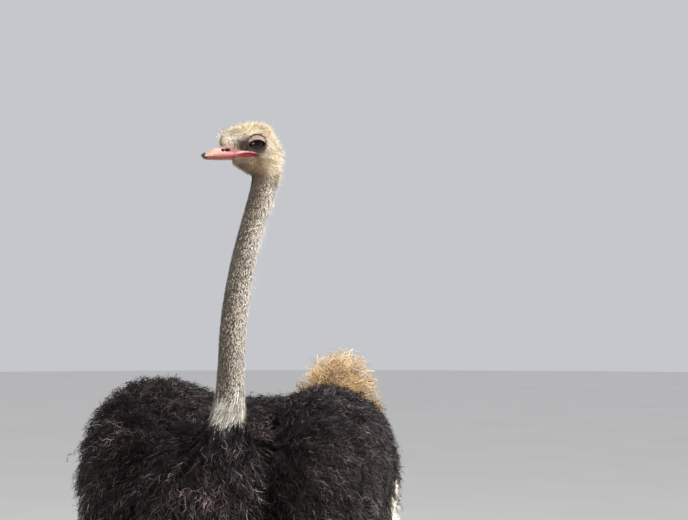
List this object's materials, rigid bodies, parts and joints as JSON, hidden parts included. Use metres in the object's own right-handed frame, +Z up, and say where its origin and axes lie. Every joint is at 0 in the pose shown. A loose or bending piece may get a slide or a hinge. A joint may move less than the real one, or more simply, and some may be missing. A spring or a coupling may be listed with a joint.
{
  "type": "ostrich",
  "caption": "Life-size standing ostrich with its head turned to one side, black body plumage, white wing plumes and a curled cream tail.",
  "frame": {"origin": "on the floor, under the middle of the bird's bounding box", "axes": "+Z is up; the breast faces -Y and the tail points to +Y; +X is the bird's left side, and the head looks towards -X, its right"},
  "size_m": [0.7704, 1.2874, 2.1415],
  "materials": {
    "black_plume": "loose, frizzy black feathers",
    "white_plume": "soft white quill plumes",
    "tail_plume": "curly cream plumes stained tan",
    "neck_down": "sparse grey and cream bristly down over pink-grey skin",
    "head_down": "short cream bristly down",
    "bill_horn": "satin pink horn with a dark nail",
    "eye_brown": "wet, very dark brown",
    "leg_skin": "bare wrinkled pink-grey skin",
    "scaled_skin": "scaly pink-grey skin",
    "claw_horn": "dull dark horn"
  },
  "bodies": {
    "root": {"trunk": "black_plume", "wing_l": "black_plume", "wing_r": "black_plume", "neck_lower": "black_plume", "wing_plumes_l": "white_plume", "wing_plumes_r": "white_plume", "tail": "tail_plume", "neck_middle": "neck_down", "neck_upper": "neck_down", "head": "head_down", "bill_upper": "bill_horn", "bill_lower": "bill_horn", "eye_l": "eye_brown", "eye_r": "eye_brown", "drumstick_l": "leg_skin", "drumstick_r": "leg_skin", "tarsus_l": "scaled_skin", "tarsus_r": "scaled_skin", "toe_main_l": "scaled_skin", "toe_main_r": "scaled_skin", "toe_outer_l": "scaled_skin", "toe_outer_r": "scaled_skin", "claw_main_l": "claw_horn", "claw_main_r": "claw_horn", "claw_outer_l": "claw_horn", "claw_outer_r": "claw_horn"}
  },
  "joints": []
}
